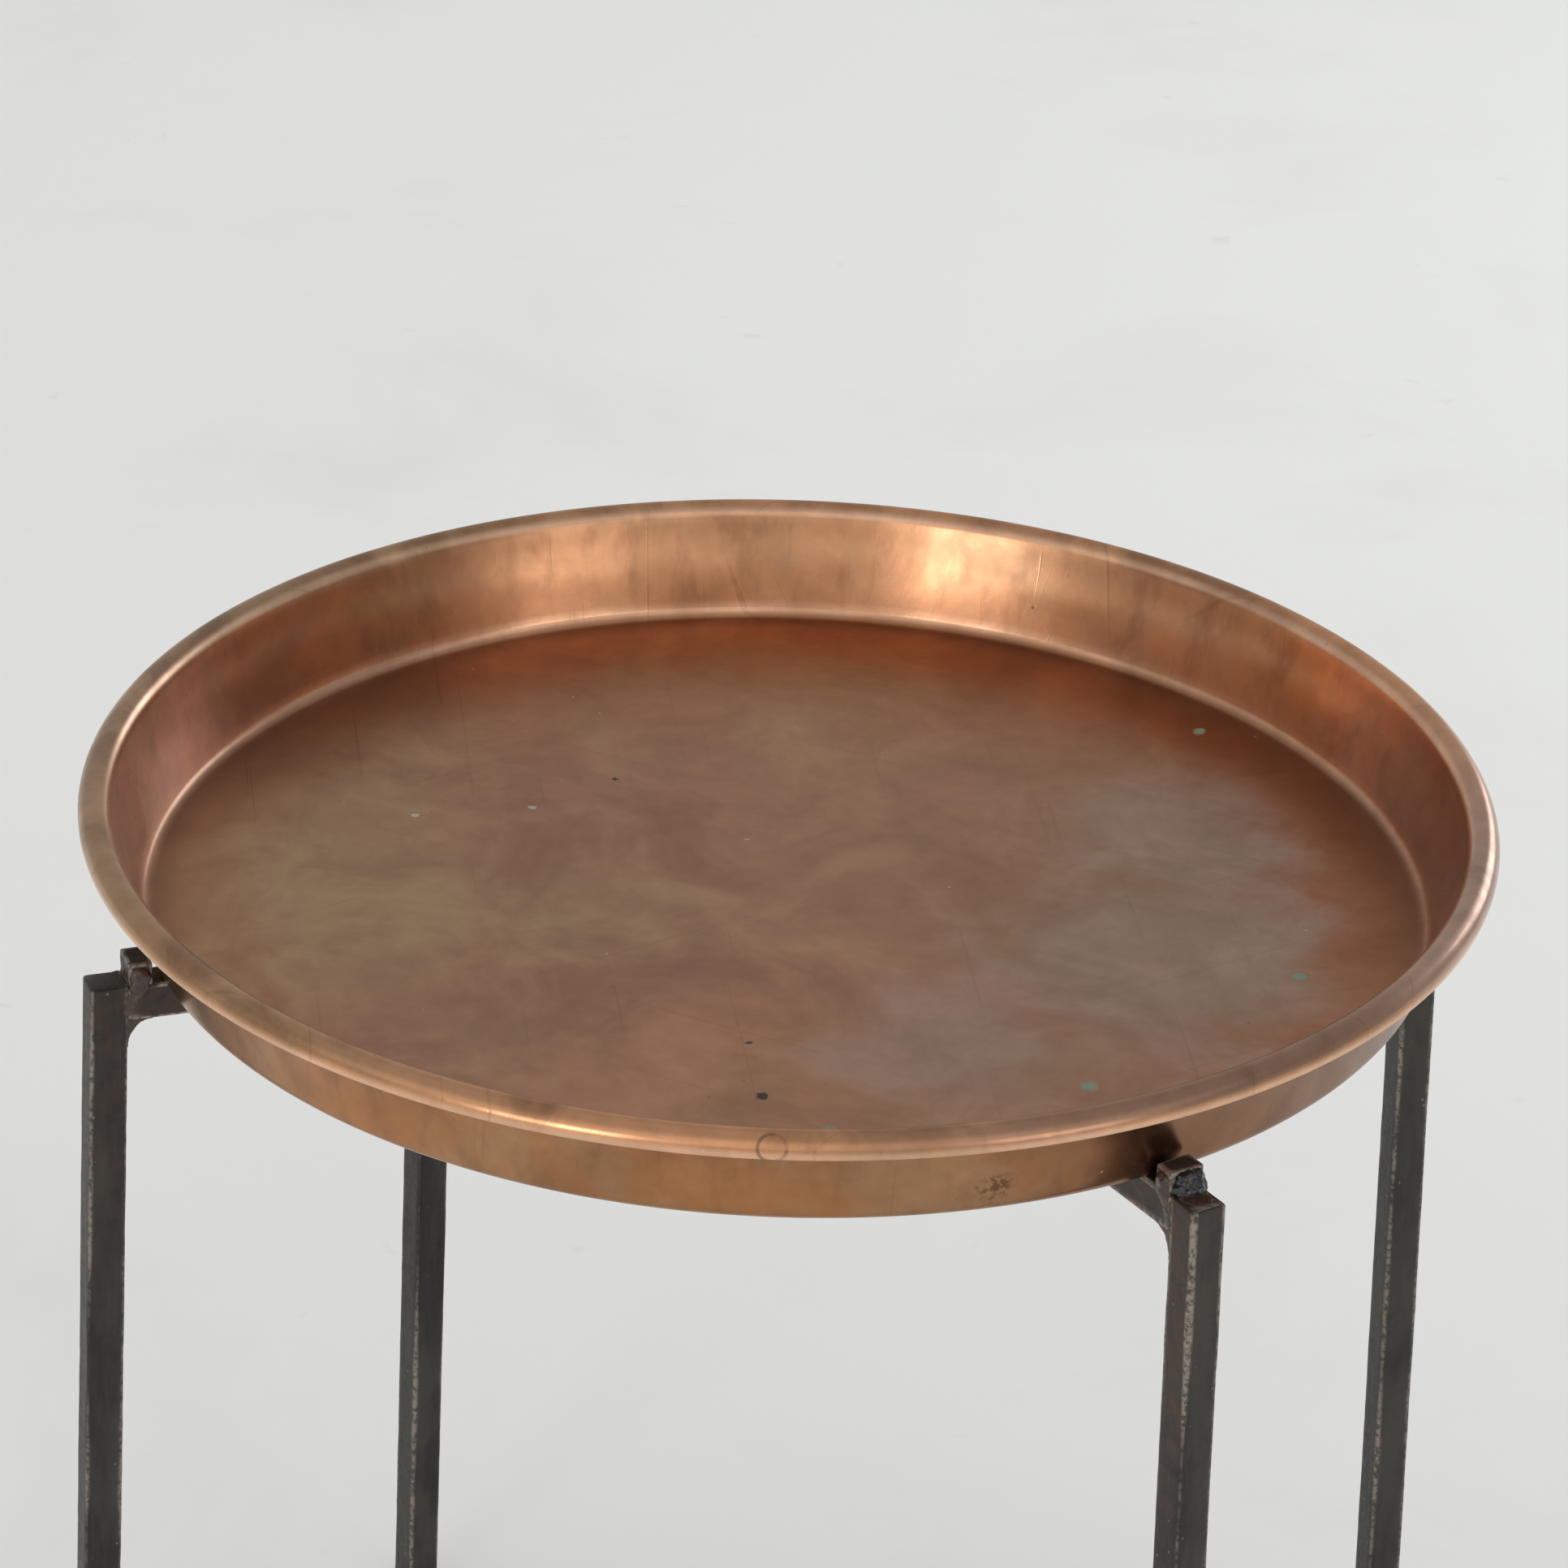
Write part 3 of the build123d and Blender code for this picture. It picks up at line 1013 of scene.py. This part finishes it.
@dataclass
class Tray:
    """Loose round tray: one sheet with a flat floor, a flared wall and a rolled rim."""

    look: Look
    steps: int = 256
    sheet: float = 1.2 * MM
    bead: float = 7.0 * MM
    curl: float = math.radians(18.0)
    flare: float = math.radians(15.6)
    bend: float = 6.0 * MM
    cuts: tuple[int, int, int, int] = (34, 8, 12, 26)  # along floor, bend, wall and rim

    @property
    def rim(self) -> tuple[float, float]:
        """Distance from the axis and height of the middle of the rolled rim."""
        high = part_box("tray")[1]
        return high.x - self.bead, high.z - self.bead

    def profile(self) -> list[tuple[float, float]]:
        """Upper surface of the sheet, from the middle of the floor to the rim's free edge.

        Returns:
            Distances from the axis with heights.
        """
        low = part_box("tray")[0]
        rim_out, rim_up = self.rim
        floor_cuts, bend_cuts, wall_cuts, rim_cuts = self.cuts
        floor = low.z + self.sheet
        outer_bend = self.bend + self.sheet
        cos_f, sin_f = math.cos(self.flare), math.sin(self.flare)
        wall_top = rim_up + self.bead * sin_f
        wall_low = low.z + outer_bend - self.bend * sin_f
        wall_run = (wall_top - wall_low) * math.tan(self.flare)
        foot = rim_out - self.bead * cos_f - wall_run - self.bend * cos_f
        line = [(foot * step / floor_cuts, floor) for step in range(floor_cuts + 1)]
        sweep = math.radians(90) - self.flare
        for step in range(1, bend_cuts + 1):
            a = -math.radians(90) + sweep * step / bend_cuts
            line.append((foot + self.bend * math.cos(a), floor + self.bend + self.bend * math.sin(a)))
        start, end = Vector(line[-1]), Vector((rim_out - self.bead * cos_f, wall_top))
        line += [tuple(start.lerp(end, step / wall_cuts)) for step in range(1, wall_cuts + 1)]
        first, last = math.radians(180) - self.flare, -self.curl
        for step in range(1, rim_cuts + 1):
            a = first + (last - first) * step / rim_cuts
            line.append((rim_out + self.bead * math.cos(a), rim_up + self.bead * math.sin(a)))
        return line

    def build(self) -> Piece:
        """Model the tray by spinning its profile, then give the sheet its thickness.

        Returns:
            The tray.
        """
        tray = trace("tray_sheet", self.profile())
        bpy.ops.mesh.spin(steps=self.steps, angle=math.tau, center=(0, 0, 0), axis=(0, 0, 1))
        put_down()
        tidy_skin(tray, 2e-6)
        if tray.data.polygons[0].normal.z < 0:
            open_up(tray)
            select_whole()
            bpy.ops.mesh.flip_normals()
            put_down()
        self._hammer(tray)
        wall = tray.modifiers.new("sheet", "SOLIDIFY")
        wall.thickness = self.sheet
        wall.offset = -1.0
        wall.use_even_offset = True
        apply_all(tray)
        self._wear(tray)
        smooth(tray, 50)
        return tray

    def _wear(self, tray: Piece) -> None:
        """Store which side faces out, and where hands and cloths have rubbed the copper bright.

        Args:
            tray: The finished sheet.
        """
        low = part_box("tray")[0].z
        rim_out, rim_up = self.rim

        def outside(co: Vector, normal: Vector) -> float:
            """Outer side of the wall, below the rim."""
            radial = (co.x * normal.x + co.y * normal.y) / max(1e-6, co.xy.length)
            return 1.0 if radial > 0.2 and co.z < rim_up - 0.0035 else 0.0

        def rubbed(co: Vector, normal: Vector) -> float:
            """Lip and shoulder of the rim, and the foot of the wall inside."""
            out = co.xy.length
            around = math.degrees(math.atan2(co.z - rim_up, out - rim_out))
            on_rim = 1.0 if math.hypot(co.z - rim_up, out - rim_out) > self.bead - 0.0004 else 0.0
            lip = soft_step(12, -8, around) * soft_step(-60, -30, around)
            shoulder = soft_step(118, 138, around) * soft_step(166, 150, around)
            fillet = soft_step(low + 0.0014, low + 0.003, co.z) * soft_step(low + 0.010, low + 0.0065, co.z)
            inner = 1.0 - outside(co, normal)
            return max(on_rim * max(lip, 0.75 * shoulder), 0.6 * fillet * inner)

        mark(tray, OUTSIDE, outside)
        mark(tray, RUBBED, rubbed)

    def _hammer(self, tray: Piece) -> None:
        """Leave the slight waves of handwork in the wall and the floor, none in the rim.

        Args:
            tray: The sheet before it has its thickness.
        """
        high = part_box("tray")[1]
        foot, rim = high.x - 0.030, high.z - 0.014

        def softness(co: Vector) -> float:
            """How far the sheet may wave at a point."""
            out = co.xy.length
            floor = soft_step(foot - 0.004, foot - 0.02, out)
            wall = soft_step(foot + 0.002, foot + 0.010, out) * soft_step(rim, rim - 0.012, co.z)
            return max(0.45 * floor, wall)

        roughen(tray, 0.07, 0.0010, 0.0, softness)

    def dress(self, tray: Piece) -> None:
        """Give the tray its copper and its body."""
        finish_piece(tray, "tray", self.look, ("tray",))


# ---------------------------------------------------------------- corners of the stand


@dataclass
class CornerSet:
    """Leg, tray stop and weld metal at one corner of the stand."""

    corner: Corner
    plan: StandPlan
    iron: Look
    bead: Look
    glaze: Look
    loops: int = 110
    stop: Point = (10.0 * MM, 16.0 * MM, 10.2 * MM)
    stop_edge: float = 0.8 * MM
    top_edge: float = 0.9 * MM
    spare: float = 12.0 * MM  # length cut off at each end of a leg
    fillet: Point = (10.5 * MM, 12.5 * MM, 0.8 * MM)  # along the crossbar, down the leg, into the bars

    def build(self) -> list[Piece]:
        """Model every piece of the corner.

        Returns:
            The pieces.
        """
        pieces = [self.leg(), self.tray_stop(), self.inner_weld(), self.side_welds()]
        if self.corner.body == "upper_frame":
            pieces += [self.outer_bead(), self.leg_glaze()]
        return pieces

    def _turn_out(self, piece: Piece) -> None:
        """Turn a piece made along +X to its corner."""
        piece.rotation_euler = (0, 0, self.corner.turn)
        settle(piece)

    def leg(self) -> Piece:
        """Square bar leaning out to its foot, cut level at both ends, arrises worn round.

        Returns:
            The leg.
        """
        plan = self.plan
        length = plan.top + 2 * self.spare
        leg = cut_block(f"leg_{self.corner.label}_worn", (plan.bar, plan.bar, length))
        open_up(leg, "EDGE")
        choose_edges(leg, lambda a, b: abs(a.z - b.z) > length / 2)
        bpy.ops.mesh.subdivide(number_cuts=self.loops)
        choose_edges(leg, lambda a, b: abs(a.z - b.z) < 1e-5)
        bpy.ops.mesh.subdivide(number_cuts=3)
        half = plan.bar / 2 - 1e-5
        choose_edges(leg, lambda a, b: min(abs(a.x), abs(a.y), abs(b.x), abs(b.y)) > half)
        bpy.ops.mesh.bevel(offset=plan.edge, segments=3, affect="EDGES")
        put_down()
        extra = 0.34 if self.corner is Corner.FRONT_RIGHT else 0.08

        def worn(co: Vector, normal: Vector) -> float:
            """Wear of the arrises, more near the top."""
            near_top = soft_step(plan.top / 2 - 0.13, plan.top / 2 - 0.02, co.z)
            return (0.60 + extra * near_top) * plan.arris_of(co.x, co.y)

        mark(leg, ARRIS, worn)
        leg.rotation_euler = (0, -plan.splay, 0)
        leg.location = (plan.half_span + math.tan(plan.splay) * plan.top / 2, 0, plan.top / 2)
        settle(leg)
        self._turn_out(leg)
        roughen(leg, 0.035, 0.0005)
        roughen(leg, 0.006, 0.00028)
        open_up(leg)
        cut((0, 0, 0), (0, 0, 1), use_fill=True, clear_inner=True)
        cut((0, 0, plan.top), (0, 0, 1), use_fill=True, clear_outer=True)
        bpy.ops.mesh.select_mode(type="EDGE")
        choose_edges(leg, lambda a, b: self._on_top_outline(a) and self._on_top_outline(b))
        bpy.ops.mesh.bevel(offset=self.top_edge, segments=2, affect="EDGES")
        put_down()
        tidy_skin(leg)
        self._stain(leg)
        smooth(leg, 38)
        return leg

    def _on_top_outline(self, point: Vector) -> bool:
        """Whether a point lies on the outline of the leg's top, away from the crossbar."""
        own = self.corner.local(point)
        return abs(point.z - self.plan.top) < 1e-5 and own.x > self.plan.inner_face + 2 * MM

    def _stain(self, piece: Piece) -> None:
        """Store where rust and heat have coloured the bar."""
        plan = self.plan
        warm = 1.0 if self.corner is Corner.FRONT_RIGHT else 0.55

        def rust(co: Vector, normal: Vector) -> float:
            """Rust, more on the sides and near the top."""
            side = abs(self.corner.local(normal).y)
            fall = soft_step(plan.top - 0.20, plan.top - 0.02, co.z)
            return warm * (0.35 + 0.65 * side) * (0.25 + 0.75 * fall)

        def heat(co: Vector, normal: Vector) -> float:
            """Heat stain around the weld."""
            own = self.corner.local(co)
            near = Vector((own.x - plan.inner_face, own.z - (plan.top - 10 * MM))).length
            return soft_step(24 * MM, 7 * MM, near)

        mark(piece, RUST, rust)
        mark(piece, HEAT, heat)

    def tray_stop(self) -> Piece:
        """Short piece of bar standing on the crossbar's end.

        Returns:
            The stop.
        """
        plan = self.plan
        stop = cut_block(f"tray_stop_{self.corner.label}_worn", self.stop)
        open_up(stop, "EDGE")
        select_whole()
        bpy.ops.mesh.bevel(offset=self.stop_edge, segments=3, affect="EDGES")
        select_whole()
        bpy.ops.mesh.subdivide(number_cuts=5)
        put_down()
        half = [size / 2 for size in self.stop]

        def edge(co: Vector, normal: Vector) -> float:
            """Wear of the stop's edges."""
            near = sorted(h - abs(c) for h, c in zip(half, co))
            return soft_step(1.9 * MM, 0.5 * MM, near[1])

        mark(stop, ARRIS, edge)
        stop.location = (plan.inner_face - half[0], 0, plan.top + half[2])
        settle(stop)
        self._turn_out(stop)
        roughen(stop, 0.007, 0.0005)
        tidy_skin(stop)
        self._stain(stop)
        smooth(stop, 60)
        return stop

    def inner_weld(self) -> Piece:
        """Hollow fillet of weld metal in the corner under the crossbar.

        Returns:
            The fillet.
        """
        plan = self.plan
        lean = math.tan(plan.splay)
        corner = plan.inner_face + lean * plan.bar
        run, fall, sink = self.fillet
        outline = [(corner + sink, plan.under + sink), (corner - run, plan.under + sink)]
        start = Vector((corner - run, plan.under - 0.1 * MM))
        end = Vector((corner + lean * fall - 0.1 * MM, plan.under - fall))
        middle = Vector((corner - 0.6 * MM, plan.under - 0.6 * MM))
        for step in range(11):
            t = step / 10
            point = start * (1 - t) ** 2 + middle * 2 * t * (1 - t) + end * t * t
            outline.append(tuple(point))
        outline.append((corner + lean * fall + sink, plan.under - fall))
        width = plan.bar - 1.0 * MM
        name = f"corner_weld_{self.corner.label}_fillet"
        weld = trace(name, outline, -width / 2)
        bpy.ops.mesh.edge_face_add()
        bpy.ops.mesh.extrude_region_move(TRANSFORM_OT_translate={"value": (0, width, 0)})
        put_down()
        tidy_skin(weld, 1e-7)
        return self._melt(weld, name, 0.45 * MM, 3, (0.005, 0.0009))

    def _melt(
        self,
        piece: Piece,
        name: str,
        cell: float,
        rounds: int,
        clouds: tuple[float, float],
        degrees: float = 75.0,
    ) -> Piece:
        """Flow a rough shape made along +X into one uneven skin, and turn it to its corner.

        Args:
            piece: The shape, or several joined shapes.
            name: Name of the finished piece.
            cell: Size of the new skin's cells.
            rounds: How often the skin is smoothed.
            clouds: Size and depth of its unevenness.
            degrees: Angle between faces above which an edge stays sharp.

        Returns:
            The finished piece.
        """
        piece.name = piece.data.name = name
        flow = piece.modifiers.new("flow", "REMESH")
        flow.mode = "VOXEL"
        flow.voxel_size = cell
        calm = piece.modifiers.new("calm", "SMOOTH")
        calm.factor = 0.5
        calm.iterations = rounds
        apply_all(piece)
        self._turn_out(piece)
        roughen(piece, *clouds)
        smooth(piece, degrees)
        return piece

    def _blob(self, middle: Point, half: Point, turn: float = 0.0) -> Piece:
        """One drop of metal, its place counted from the top of the leg's inner face.

        Args:
            middle: Millimetres out, across and up.
            half: Half sizes in millimetres.
            turn: Turn about the across direction, in degrees.

        Returns:
            The drop.
        """
        put_down()
        bpy.ops.mesh.primitive_ico_sphere_add(subdivisions=3, radius=1.0)
        drop = bpy.context.active_object
        drop.scale = [h * MM for h in half]
        drop.rotation_euler = (0, math.radians(turn), 0)
        x, y, z = middle
        drop.location = (self.plan.inner_face + x * MM, y * MM, self.plan.top + z * MM)
        settle(drop)
        return drop

    def side_welds(self) -> Piece:
        """Smooth puddles over the joints of stop, crossbar and leg, on both sides.

        Returns:
            The puddles as one piece.
        """
        half = self.plan.bar / 2 / MM
        near = 1 if self.corner is Corner.FRONT_LEFT else -1
        drops = []
        for side in (-1, 1):
            full = 1.0 if side == near and self.corner is not Corner.FRONT_RIGHT else 0.6
            face = side * (half - 0.9)
            drops += [
                self._blob((-5.0, face, 4.2), (4.8, 1.7 + 1.7 * full, 4.8)),
                self._blob((-4.4, face, 0.0), (4.6, 1.7 + 1.6 * full, 4.6)),
                self._blob((-3.6, face, -3.0), (3.8, 1.4 + 0.5 * full, 3.6)),
                self._blob((-0.8, face, -7.2), (4.4, 1.35, 5.6), 14),
                self._blob((0.4, face, -11.6), (3.4, 1.25, 3.4)),
            ]
        name = f"side_welds_{self.corner.label}_glaze"
        return self._melt(gather(drops), name, 0.35 * MM, 4, (0.003, 0.0007))

    def outer_bead(self) -> Piece:
        """Lumpy bead between the stop's outer face and the top of the leg.

        Returns:
            The bead.
        """
        sign = -1.0 if self.corner is Corner.BACK_LEFT else 1.0
        lumps = (
            (0.4, -3.2, 6.4, 3.0), (0.9, 0.4, 6.9, 3.3), (0.7, 4.0, 6.5, 3.1), (0.3, 6.2, 5.6, 2.1),
            (1.9, -1.6, 4.6, 3.5), (2.4, 2.2, 4.3, 3.6), (1.7, 5.2, 3.8, 2.8), (1.3, -4.6, 3.6, 2.8),
            (3.4, -0.4, 2.4, 3.0), (3.5, 3.0, 2.1, 2.9), (2.4, 5.6, 1.8, 2.2), (2.6, -3.8, 1.7, 2.6),
        )
        drops = [self._blob((x, sign * y, z), (r, r * 1.05, r)) for x, y, z, r in lumps]
        name = f"stop_bead_{self.corner.label}_lumps"
        return self._melt(gather(drops), name, 0.3 * MM, 2, (0.0042, 0.0016), 80.0)

    def leg_glaze(self) -> Piece:
        """Brown glaze run over the top of the leg, below the bead.

        Returns:
            The glaze.
        """
        drops = [
            self._blob((4.6, 0.2, 0.1), (6.8, 6.4, 1.9), 8),
            self._blob((8.0, 0.8, -0.1), (5.2, 5.6, 1.2), 5),
            self._blob((3.0, -3.4, 0.2), (3.6, 3.0, 1.7)),
        ]
        return self._melt(gather(drops), f"leg_glaze_{self.corner.label}", 0.35 * MM, 4, (0.004, 0.0005))

    def dress(self, pieces: list[Piece]) -> None:
        """Give each piece its finish and its body.

        Args:
            pieces: What build() made.
        """
        label, body = self.corner.label, self.corner.body
        rows = [
            ("black_iron", self.iron, (f"leg_{label}",)),
            ("black_iron", self.iron, (f"tray_stop_{label}",)),
            ("weld_metal", self.glaze, (f"corner_weld_{label}",)),
            ("weld_metal", self.glaze, (f"side_welds_{label}",)),
            ("weld_metal", self.bead, (f"stop_bead_{label}",)),
            ("weld_metal", self.glaze, ()),
        ]
        for piece, (slot, look, replaced) in zip(pieces, rows):
            finish_piece(piece, body, look, replaced)


# ---------------------------------------------------------------- crossing


@dataclass
class Crossing:
    """The two halved crossbars and the rivet that pins them."""

    plan: StandPlan
    iron: Look
    pitch: float = 6.0 * MM

    def build(self) -> dict[str, Piece]:
        """Model both crossbars and the rivet from copies of their frame nodes.

        Returns:
            The pieces by the name of the node that each stands for.
        """
        return {
            "crossbar_lower": self._crossbar("crossbar_lower", 38.0),
            "crossbar_upper": self._crossbar("crossbar_upper", -38.0),
            "pivot_rivet": self._rivet(),
        }

    def _copy(self, node: str, name: str) -> Piece:
        """Merged copy of a frame node's mesh, as an object of its own."""
        piece = link_new(name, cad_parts[node].data.copy())
        piece.data.name = name
        take(piece)
        tidy_skin(piece, 2e-6)
        return piece

    def _crossbar(self, node: str, degrees: float) -> Piece:
        """Crossbar with a worn skin, cut into short lengths so that it can be uneven.

        Args:
            node: The frame node it stands for.
            degrees: Direction of the bar about +Z.

        Returns:
            The crossbar.
        """
        bar = self._copy(node, f"{node}_worn")
        along = Vector(direction(degrees))
        side = Vector((-along.y, along.x, 0))
        plan = self.plan
        middle = plan.top - plan.bar / 2
        open_up(bar)
        count = int(plan.inner_face / self.pitch)
        for step in range(-count, count + 1):
            cut(along * step * self.pitch, along)
        for share in (-0.5, 0.0, 0.5):
            offset = share * (plan.bar - 2 * plan.edge)
            cut(side * offset, side)
            cut((0, 0, middle + offset), (0, 0, 1))
        put_down()
        tidy_skin(bar, 2e-6)
        mark(bar, ARRIS, lambda co, n: plan.arris_of(co.dot(side), co.z - middle))
        ends = plan.inner_face - 0.030
        mark(bar, RUST, lambda co, n: 0.25 + 0.6 * soft_step(ends - 0.05, ends + 0.02, abs(co.dot(along))))
        mark(bar, HEAT, lambda co, n: soft_step(ends + 0.006, ends + 0.024, abs(co.dot(along))))

        def skin(co: Vector) -> float:
            """Uneven away from the eye and from the face that the tray rests on."""
            away_from_eye = soft_step(0.045, 0.060, abs(co.dot(along)))
            return away_from_eye * soft_step(plan.top, plan.top - 0.002, co.z)

        roughen(bar, 0.03, 0.0004, 0.5, skin)
        smooth(bar, 38)
        return bar

    def _rivet(self) -> Piece:
        """Rivet with a hammered head.

        Returns:
            The rivet.
        """
        rivet = self._copy("pivot_rivet", "pivot_rivet_hammered")
        under, top = self.plan.under, self.plan.top
        roughen(rivet, 0.006, 0.0006, 0.5, lambda co: soft_step(under - 0.0005, under - 0.003, co.z))
        mark(rivet, ARRIS, lambda co, n: 0.6 if co.z < under - 0.001 or co.z > top - 0.001 else 0.0)
        mark(rivet, RUST, lambda co, n: 0.3)
        mark(rivet, HEAT, lambda co, n: 0.0)
        smooth(rivet, 40)
        return rivet

    def dress(self, pieces: dict[str, Piece]) -> None:
        """Give each piece its iron and its body.

        Args:
            pieces: What build() made.
        """
        for node, piece in pieces.items():
            body = "upper_frame" if node == "crossbar_upper" else "lower_frame"
            finish_piece(piece, body, self.iron, (node,))


# ---------------------------------------------------------------- studio


@dataclass(frozen=True)
class SoftLight:
    """One soft studio light, aimed at the tray."""

    name: str
    bearing: float
    height: float
    distance: float
    size: tuple[float, float]
    power: float
    colour: Colour = (1.0, 1.0, 1.0)
    aimed_at: float = 0.56

    def build(self) -> None:
        """Hang the light and aim it at the tray."""
        lamp = bpy.data.lights.new(self.name, "AREA")
        lamp.shape = "RECTANGLE"
        lamp.size, lamp.size_y = self.size
        lamp.energy = self.power
        lamp.color = self.colour
        holder = link_new(self.name, lamp)
        x, y, _ = direction(self.bearing)
        holder.location = (self.distance * x, self.distance * y, self.height)
        aim = Vector((0, 0, self.aimed_at)) - holder.location
        holder.rotation_euler = aim.to_track_quat("-Z", "Y").to_euler()


@dataclass
class Studio:
    """Pale floor, soft lights and the camera."""

    floor_look: Look
    eye: Point = (0.72875, -2.22565, 1.77035)
    ahead: Point = (-0.27887, 0.84835, -0.45003)
    overhead: Point = (-0.17459, 0.41603, 0.89243)
    lens: float = 142.25
    sensor: float = 36.0
    floor_size: float = 30.0
    floor_cells: int = 60
    front: float = -71.0
    sky_back: Colour = (0.385, 0.40, 0.42)
    sky_front: Colour = (0.86, 0.855, 0.84)
    sky_top: Colour = (0.52, 0.53, 0.54)
    sky_low: Colour = (0.50, 0.49, 0.47)
    dark_side: float = 18.0
    sky_dark: Colour = (0.11, 0.11, 0.115)
    fill_power: float = 0.75
    fill_width: float = 80.0
    fill_turn: Point = (-22.0, -18.0, 0.0)

    def build(self) -> None:
        """Set up floor, camera, lights and sky."""
        self._floor()
        self._camera()
        self._sky()
        lights = (
            SoftLight("window_left", -103.0, 0.95, 3.0, (0.9, 0.9), 10.0),
            SoftLight("window_right", -31.0, 0.95, 3.0, (1.0, 1.0), 4.5),
            SoftLight("cool_right", 68.0, 1.35, 3.3, (1.4, 1.1), 14.0, (0.90, 0.94, 1.0)),
        )
        for light in lights:
            light.build()
            log.info("light %s", light.name)

    def _floor(self) -> None:
        """Wide pale floor."""
        put_down()
        cells = self.floor_cells
        bpy.ops.mesh.primitive_grid_add(x_subdivisions=cells, y_subdivisions=cells, size=self.floor_size)
        floor = bpy.context.active_object
        floor.name = floor.data.name = "studio_floor"
        floor.data.materials.append(self.floor_look)

    def _camera(self) -> None:
        """Long lens from the front, a little to the right and above."""
        camera = link_new("camera", bpy.data.cameras.new("camera"))
        back = -Vector(self.ahead).normalized()
        right = Vector(self.overhead).cross(back).normalized()
        up = back.cross(right)
        turn = Matrix((right, up, back)).transposed().to_4x4()
        camera.matrix_world = Matrix.Translation(self.eye) @ turn
        camera.data.lens = self.lens
        camera.data.sensor_width = self.sensor
        camera.data.clip_end = 2 * self.floor_size
        bpy.context.scene.camera = camera

    def _sky(self) -> None:
        """Even light from all round, lighter behind the camera, and a soft fill from above."""
        world = bpy.context.scene.world or bpy.data.worlds.new("sky")
        bpy.context.scene.world = world
        world.use_nodes = True
        mix = Patterns(world.node_tree, "Generated")
        x, y, _ = direction(self.front)
        colour = mix.mix(mix.towards(mix.place, (x, y, 0), -0.25, 0.65), self.sky_back, self.sky_front)
        low = (-0.35 * x, -0.35 * y, -1)
        for way, start, full, over in (
            (direction(self.dark_side), 0.80, 0.97, self.sky_dark),
            ((0, 0, 1), 0.60, 0.95, self.sky_top),
            (low, -0.55, -0.30, self.sky_low),
        ):
            colour = mix.mix(mix.towards(mix.place, way, start, full), colour, over)
        mix.links.new(colour, mix.nodes["Background"].inputs["Color"])
        bpy.context.scene.view_settings.view_transform = "Standard"
        sun = bpy.data.lights.new("fill", "SUN")
        sun.energy, sun.angle = self.fill_power, math.radians(self.fill_width)
        holder = link_new("fill", sun)
        holder.rotation_euler = [math.radians(degrees) for degrees in self.fill_turn]
        holder.visible_glossy = False


# ---------------------------------------------------------------- all together


def main() -> None:
    """Build the table piece by piece, then the studio around it."""
    logging.basicConfig(level=logging.INFO, format="%(name)s: %(message)s")
    copper = CopperPatinaAndPaintedLight().make()
    iron = BlackIron().make()
    bead = WeldMetal(WeldLook.BEAD).make()
    glaze = WeldMetal(WeldLook.GLAZE).make()
    Studio(PaleFloor().make()).build()
    tray = Tray(copper)
    tray.dress(tray.build())
    plan = StandPlan()
    crossing = Crossing(plan, iron)
    crossing.dress(crossing.build())
    for corner in Corner:
        pieces = CornerSet(corner, plan, iron, bead, glaze)
        pieces.dress(pieces.build())
    put_down()


if __name__ == "__main__":
    main()
